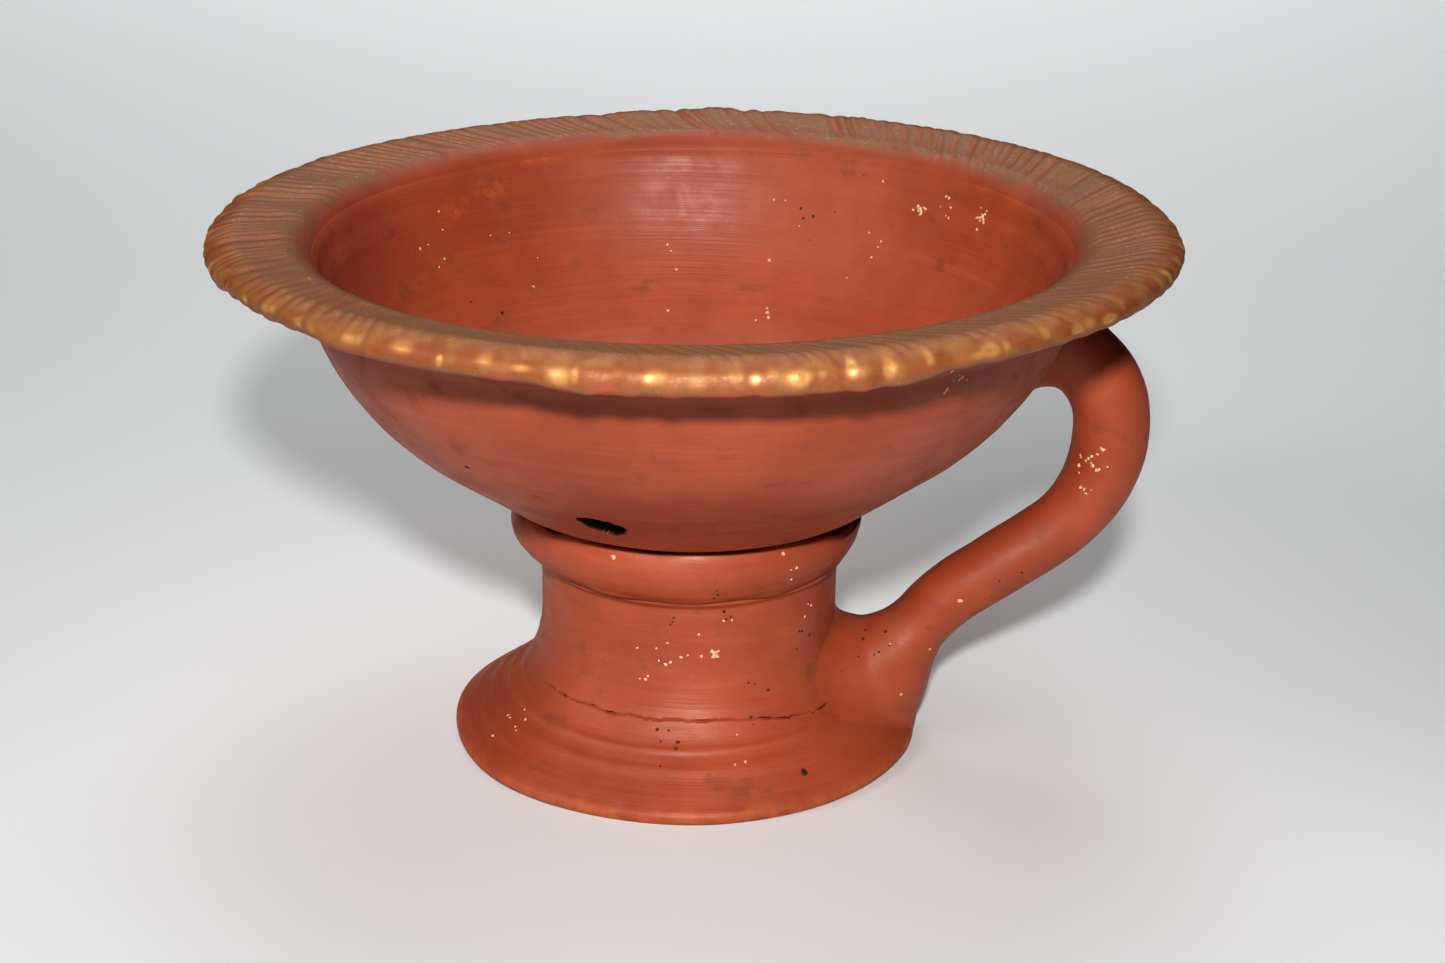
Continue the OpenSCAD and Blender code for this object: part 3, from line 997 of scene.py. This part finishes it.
def gold_material():
    n, body, rough, bump, spot, blotches = clay_nodes("gold paint over clay", 0.9, 0.5, 0.2)
    groove, worn, nose = n.value("groove"), n.value("worn"), n.value("nose")
    patch = n.noise(spot, 0.35, 4.0, 0.65)
    flake = n.noise(spot, 1.6, 4.0, 0.7)
    dabs = n.noise(spot, 0.24, 1.5, 0.5)
    fray = n.math("ADD", worn, n.range(blotches, 0.3, 0.7, -0.3, 0.3))
    bare = n.math("MAXIMUM", n.range(groove, 0.2, 0.8, 0.0, 0.85), n.range(fray, 0.3, 0.7))
    bare = n.math("MAXIMUM", bare, n.range(patch, 0.60, 0.78, 0.0, 0.7))
    cover = n.math("SUBTRACT", 1.0, bare)
    paint = n.mix(n.range(patch, 0.38, 0.62), colour(138, 97, 72), colour(144, 95, 54))
    paint = n.mix(n.range(flake, 0.56, 0.68, 0.0, 0.7), paint, colour(198, 146, 86))
    # Round the lip the paint is rubbed and lies gilt in dabs; bright spots are painted highlights
    # standing for glints of the key light
    rubbed = n.times(nose, n.range(dabs, 0.62, 0.40, 0.25, 0.85))
    gilt = n.times(nose, n.range(dabs, 0.42, 0.62, 0.1, 0.8))
    # Painted highlight: the glint spots are coloured bright gold
    painted_highlight = n.range(n.value("painted_glint"), 0.05, 0.95)
    paint = n.mix(rubbed, paint, colour(146, 82, 46))
    paint = n.mix(gilt, paint, colour(166, 116, 68))
    paint = n.mix(painted_highlight, paint, colour(226, 172, 108))
    # Where the paint has gone there is stained clay; at the paint's edge a mauve painted sheen
    # stands for the shoulder's soft reflection of the bright surroundings
    under = n.mix(n.range(worn, 0.1, 0.7, 0.9, 0.0), body, colour(150, 82, 46))
    painted_shoulder_sheen = n.times(n.range(worn, 0.15, 0.6), n.range(worn, 1.0, 0.7))
    under = n.mix(n.times(painted_shoulder_sheen, 0.4), under, colour(146, 90, 74))
    body = n.mix(cover, under, paint)
    metal = n.times(cover, n.range(flake, 0.45, 0.75, 0.05, 0.4))
    metal = n.math("MAXIMUM", metal, n.times(gilt, n.times(cover, 0.3)))
    metal = n.math("MAXIMUM", metal, n.times(painted_highlight, n.times(cover, 0.6)))
    shine = n.math("SUBTRACT", n.range(flake, 0.3, 0.7, 0.62, 0.5), n.times(painted_highlight, 0.2))
    rough = n.add("ShaderNodeMix", settings={"data_type": "FLOAT"}, i0=cover, i2=rough, i3=shine)
    bump = n.bump(flake, 0.3, 0.0001, bump)
    n.feed(n.shader.inputs["Metallic"], metal)
    return finish_clay(n, body, rough, bump)


def speck_material(name, dark, light, rough):
    n = Nodes(name)
    spot = n.add("ShaderNodeTexCoord", "Object")
    tone = n.noise(spot, 2200.0, 3.0, 0.6)
    n.feed(n.shader.inputs["Base Color"], n.mix(n.range(tone, 0.35, 0.65), dark, light))
    n.feed(n.shader.inputs["Roughness"], n.range(tone, 0.3, 0.7, rough - 0.1, rough + 0.1))
    n.feed(n.shader.inputs["Normal"], n.bump(tone, 0.4, 0.00005))
    return n.material


# ---------------------------------------------------------------- assembly
def settle(piece, material, slot, *nodes):
    """Give a piece its material and the body it rides, and hide the nodes it replaces; the slot is
    not used.
    """
    piece.data.materials.append(material)
    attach(piece, "root")
    if nodes:
        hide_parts(*nodes)


bowl = build_bowl()
gilding = build_gilding()
collar = build_collar()
luting = build_luting()
stem, foot = build_pedestal()
handle, top_wad, foot_wad = build_handle()

stem_clay = pedestal_material("pedestal clay", -0.6)
handle_clay = pedestal_material("handle clay", 0.35, 0.15)
settle(bowl, bowl_material(), "bowl_clay", "bowl")
settle(gilding, gold_material(), "gold_paint", "rim_gilding")
settle(collar, stem_clay, "pedestal_clay", "socket_collar")
settle(stem, stem_clay, "pedestal_clay", "stem")
settle(foot, stem_clay, "pedestal_clay", "foot")
settle(luting, pedestal_material("luting clay", 0.0), "luting_clay", "luting_coil")
settle(handle, handle_clay, "handle_clay", "handle")
settle(top_wad, handle_clay, "handle_clay", "handle_top_wad")
settle(foot_wad, handle_clay, "handle_clay", "handle_foot_wad")

bowl_tree = tree_of(bowl)
base_trees = tree_of(stem, foot, foot_wad)
collar_tree = tree_of(collar)
handle_trees = tree_of(handle, top_wad, foot_wad)

cream_groups = [
    *groups(bowl_tree, from_axis,
            (46, 77.5, 0.45, 14, 0.6),
            (41, 80, 1.6, 6, 0.5),
            (32, 79, 0.7, 16, 0.5),
            (54, 71, 5.0, 6, 0.5),
            (74, 71, 2.5, 4, 0.6),
            (72, 57.5, 1.2, 5, 0.6),
            (95, 68, 4.0, 4, 0.5),
            (142, 71.5, 2.0, 6, 0.55),
            (124, 69, 3.0, 4, 0.45)),
    *groups(bowl_tree, from_outside,
            (308, 76.6, 0.9, 9, 0.7)),
    *groups(collar_tree, from_outside,
            (246, 39.6, 0.1, 1, 1.0),
            (302, 39.8, 0.1, 1, 0.7),
            (306, 36, 0.8, 3, 0.5)),
    *groups(base_trees, from_outside,
            (280, 22.8, 0.45, 8, 0.6),
            (260, 22.3, 1.2, 6, 0.6),
            (270, 24.8, 1.6, 4, 0.5),
            (254, 18.6, 0.4, 3, 0.6),
            (319, 26.6, 0.7, 4, 0.5),
            (287, 28, 0.5, 2, 0.5),
            (210, 5.4, 1.6, 7, 0.6),
            (288, 9, 2.5, 3, 0.5),
            (150, 14, 5.0, 8, 0.6),
            (75, 10, 5.0, 8, 0.6)),
    *groups(handle_trees, from_front,
            (63.9, 48.2, 1.2, 12, 0.6),
            (63.0, 44, 0.8, 6, 0.5),
            (65.6, 51, 0.5, 3, 0.6),
            (44, 24.4, 0.3, 2, 0.9),
            (60.5, 29.5, 0.3, 1, 0.8),
            (36, 12, 3.0, 3, 0.5)),
]
dark_groups = [
    *groups(bowl_tree, from_axis,
            (140, 62.5, 0.1, 1, 0.6),
            (134, 60, 0.1, 1, 0.6),
            (69, 74, 0.8, 3, 0.6),
            (62, 73, 4.0, 4, 0.4)),
    *groups(bowl_tree, from_outside,
            (232, 59.6, 0.3, 2, 1.0)),
    *groups(collar_tree, from_outside,
            (281, 34.4, 0.7, 3, 0.5)),
    *groups(base_trees, from_outside,
            (285, 29, 0.7, 4, 0.5),
            (265, 27.6, 0.6, 3, 0.5),
            (262, 10, 1.6, 6, 0.6),
            (304, 4.8, 0.2, 2, 1.2),
            (320, 24, 1.3, 5, 0.5),
            (300, 14, 3.0, 5, 0.5)),
    *groups(handle_trees, from_front,
            (30.5, 17, 2.2, 9, 0.5),
            (52, 31, 5.0, 4, 0.4)),
]
cream = add_specks("lime_specks", cream_groups, 101)
dark = add_specks("dark_specks", dark_groups, 102)
settle(cream, speck_material("lime speck", colour(206, 166, 126), colour(232, 206, 172), 0.8), "")
settle(dark, speck_material("burnt speck", colour(52, 30, 22), colour(92, 60, 44), 0.7), "")


# ---------------------------------------------------------------- camera, floor and light
CAMERA_AT = (0, -0.38719, 0.19007)
CAMERA_YAW, CAMERA_PITCH, CAMERA_ROLL = 0.802, 20.854, 1.209  # degrees
CAMERA_LENS, CAMERA_SENSOR = 63.93, 36
FLOOR_RADIUS = 5.0
# Name, place, target, size, power and spread in degrees
LIGHTS = (
    ("key", (0.0, -0.45, 0.30), (0, 0.04, 0.05), 0.035, 0.63, 100),
    ("backdrop", (0.0, 1.25, 1.3), (0, 0.9, 0), 1.2, 4.2, 90),
    ("overhead", (0.0, 0.55, 1.2), (0, 0.6, 0), 1.0, 0.6, 80),
    ("side", (-0.7, -0.35, 0.55), (0, 0, 0.04), 0.35, 0.17, 60),
)


def aim(obj, place, forward, up):
    """Put obj at place so that it looks along forward."""
    right = forward.cross(up).normalized()
    basis = Matrix((right, right.cross(forward), -forward)).transposed()
    obj.matrix_world = Matrix.Translation(place) @ basis.to_4x4()


def make_camera():
    data = bpy.data.cameras.new("camera")
    data.lens, data.sensor_width, data.sensor_fit = CAMERA_LENS, CAMERA_SENSOR, "HORIZONTAL"
    data.clip_start, data.clip_end = 0.01, 50
    camera = add_object("camera", data)
    yaw, pitch, roll = (math.radians(a) for a in (CAMERA_YAW, CAMERA_PITCH, CAMERA_ROLL))
    level = math.cos(pitch)
    forward = Vector((math.sin(yaw) * level, math.cos(yaw) * level, -math.sin(pitch)))
    right = Vector((math.cos(yaw), -math.sin(yaw), 0))
    up = right.cross(forward) * math.cos(roll) - right * math.sin(roll)
    aim(camera, Vector(CAMERA_AT), forward, up)
    bpy.context.scene.camera = camera


def make_floor():
    """A flat disc whose rings widen outwards."""
    rings, steps = 24, 96
    r = np.linspace(0, 1, rings)[1:, None] ** 2 * FLOOR_RADIUS
    points = in_space(r, 0, whole_turn(steps)).reshape(-1, 3)
    index = np.arange((rings - 1) * steps).reshape(rings - 1, steps) + 1
    after = np.roll(index, -1, 1)
    quads = np.stack([index[:-1], after[:-1], after[1:], index[1:]], -1).reshape(-1, 4)
    fan = np.stack([0 * index[0], index[0], after[0]], -1)
    mesh = bpy.data.meshes.new("floor")
    mesh.from_pydata([(0, 0, 0), *points.tolist()], [], quads.tolist() + fan.tolist())
    floor = add_object("floor", mesh)
    n = Nodes("pale floor")
    tone = n.noise(n.add("ShaderNodeTexCoord", "Object"), 3.0)
    pale = n.mix(tone, (0.74, 0.752, 0.756, 1), (0.78, 0.792, 0.796, 1))
    n.feed(n.shader.inputs["Base Color"], pale)
    n.shader.inputs["Roughness"].default_value = 0.9
    n.shader.inputs["Specular IOR Level"].default_value = 0.15
    mesh.materials.append(n.material)


def make_light(name, place, target, size, power, spread):
    data = bpy.data.lights.new(name, "AREA")
    data.shape = "DISK"
    data.size, data.energy, data.spread = size, power, math.radians(spread)
    forward = (Vector(target) - Vector(place)).normalized()
    aim(add_object(name, data), Vector(place), forward, Vector((0, 0, 1)))


make_camera()
make_floor()
for light in LIGHTS:
    make_light(*light)

world = bpy.data.worlds.new("studio")
world.use_nodes = True
background = world.node_tree.nodes["Background"].inputs
background["Color"].default_value = (0.93, 0.95, 1.0, 1)
background["Strength"].default_value = 0.03
bpy.context.scene.world = world
bpy.context.scene.view_settings.view_transform = "Standard"
bpy.context.scene.view_settings.look = "High Contrast"
